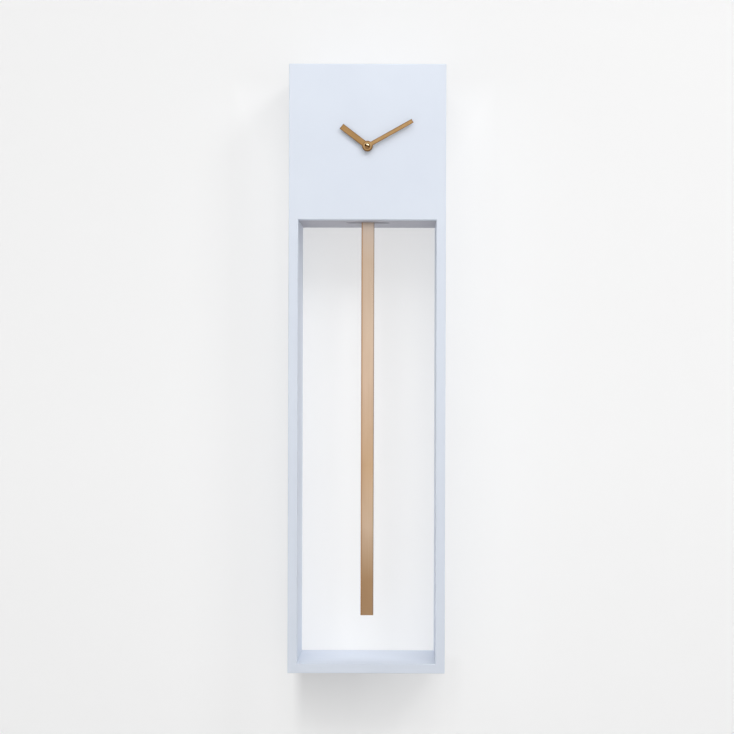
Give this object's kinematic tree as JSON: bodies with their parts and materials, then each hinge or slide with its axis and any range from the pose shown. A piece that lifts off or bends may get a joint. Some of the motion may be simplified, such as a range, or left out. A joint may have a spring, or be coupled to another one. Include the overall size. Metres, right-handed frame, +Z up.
{
  "type": "pendulum wall clock",
  "caption": "Tall slim wall clock: painted board case with an open window, closed head with plain gold hands, and a flat gold bar pendulum that swings through a slot.",
  "frame": {"origin": "middle of the hanging rail's back face, on the wall plane", "axes": "+Y into the wall, +Z up, +X to the viewer's right; the clock faces -Y"},
  "size_m": [0.2, 0.1118, 0.775],
  "materials": {
    "painted_board": "smooth matte pale blue lacquer on fibreboard",
    "raw_board": "raw sanded board",
    "gold_metal": "satin gold",
    "satin_gold_metal": "satin gold anodised",
    "brass": "turned brass",
    "steel": "zinc plated",
    "black_plastic": "fine moulded texture",
    "grey_plastic": "moulded",
    "white_plastic": "moulded",
    "rubber": "matte",
    "circuit_green": "solder mask",
    "copper_wire": "enamelled wire",
    "battery_skin": "smooth wrapped can"
  },
  "bodies": {
    "case": {"left_side_board": "painted_board", "right_side_board": "painted_board", "top_board": "painted_board", "bottom_board": "painted_board", "head_front_panel": "painted_board", "head_floor_board": "painted_board", "hanging_rail": "raw_board", "panel_glue_block_left": "raw_board", "panel_glue_block_right": "raw_board", "keyhole_plate_left": "steel", "keyhole_plate_right": "steel", "keyhole_screw_left_outer": "steel", "keyhole_screw_left_inner": "steel", "keyhole_screw_right_outer": "steel", "keyhole_screw_right_inner": "steel", "wall_bumper_left": "rubber", "wall_bumper_right": "rubber", "movement_case": "black_plastic", "movement_back_cover": "black_plastic", "middle_plate": "grey_plastic", "threaded_bushing": "brass", "rubber_washer": "rubber", "brass_washer": "brass", "hex_nut": "brass", "circuit_board": "circuit_green", "control_chip": "black_plastic", "quartz_crystal": "steel", "motor_stator": "steel", "motor_coil": "copper_wire", "battery": "battery_skin", "battery_spring": "steel", "battery_contact": "steel", "drive_housing": "black_plastic", "drive_housing_lid": "black_plastic", "drive_coil": "copper_wire", "pivot_pin": "steel", "pivot_clip": "steel"},
    "pendulum": {"swing_arm": "grey_plastic", "drive_magnet": "steel", "pendulum_hanger": "steel", "hanger_rivet_upper": "steel", "hanger_rivet_lower": "steel", "pendulum_bar": "satin_gold_metal"},
    "minute_shaft": {"minute_arbor": "steel", "minute_hand": "gold_metal", "cap_nut": "gold_metal"},
    "hour_pipe": {"hour_wheel": "white_plastic", "hour_hand": "gold_metal"},
    "motion_wheel": {"motion_wheel": "white_plastic"},
    "setting_knob": {"time_setting_knob": "black_plastic"},
    "second_wheel": {"second_wheel": "white_plastic"},
    "third_wheel": {"third_wheel": "white_plastic"},
    "centre_wheel": {"centre_wheel": "brass"},
    "intermediate_wheel": {"intermediate_wheel": "white_plastic"},
    "rotor": {"rotor": "grey_plastic"}
  },
  "joints": [
    {"name": "pendulum_swing", "type": "hinge", "parent": "case", "child": "pendulum", "pos_m": [0, -0.065, -0.01], "axis": [0, 1, 0], "range_deg": [-6.5, 6.5]},
    {"name": "minute_hand_turn", "type": "hinge", "parent": "case", "child": "minute_shaft", "pos_m": [0, -0.0852, -0.0785], "axis": [0, 1, 0], "continuous": true},
    {"name": "hour_hand_turn", "type": "hinge", "parent": "case", "child": "hour_pipe", "pos_m": [0, -0.0852, -0.0785], "axis": [0, 1, 0], "continuous": true},
    {"name": "motion_wheel_turn", "type": "hinge", "parent": "case", "child": "motion_wheel", "pos_m": [-0.0096, -0.0852, -0.0785], "axis": [0, 1, 0], "continuous": true},
    {"name": "setting_knob_turn", "type": "hinge", "parent": "case", "child": "setting_knob", "pos_m": [-0.0192, -0.0852, -0.0785], "axis": [0, 1, 0], "continuous": true},
    {"name": "second_wheel_turn", "type": "hinge", "parent": "case", "child": "second_wheel", "pos_m": [0, -0.0852, -0.0785], "axis": [0, 1, 0], "continuous": true},
    {"name": "third_wheel_turn", "type": "hinge", "parent": "case", "child": "third_wheel", "pos_m": [0.00764, -0.0852, -0.07086], "axis": [0, 1, 0], "continuous": true},
    {"name": "centre_wheel_turn", "type": "hinge", "parent": "case", "child": "centre_wheel", "pos_m": [0, -0.0852, -0.0785], "axis": [0, 1, 0], "continuous": true},
    {"name": "intermediate_wheel_turn", "type": "hinge", "parent": "case", "child": "intermediate_wheel", "pos_m": [-0.00764, -0.0852, -0.07086], "axis": [0, 1, 0], "continuous": true},
    {"name": "rotor_turn", "type": "hinge", "parent": "case", "child": "rotor", "pos_m": [-0.00916, -0.0852, -0.06225], "axis": [0, 1, 0], "continuous": true}
  ],
  "couplings": [
    {"joint": "hour_hand_turn", "follows": "minute_hand_turn", "ratio": 0.083333},
    {"joint": "motion_wheel_turn", "follows": "minute_hand_turn", "ratio": -0.33333},
    {"joint": "setting_knob_turn", "follows": "minute_hand_turn", "ratio": 1},
    {"joint": "third_wheel_turn", "follows": "second_wheel_turn", "ratio": -0.13333},
    {"joint": "centre_wheel_turn", "follows": "second_wheel_turn", "ratio": 0.016667},
    {"joint": "intermediate_wheel_turn", "follows": "second_wheel_turn", "ratio": -5},
    {"joint": "rotor_turn", "follows": "second_wheel_turn", "ratio": 30}
  ]
}
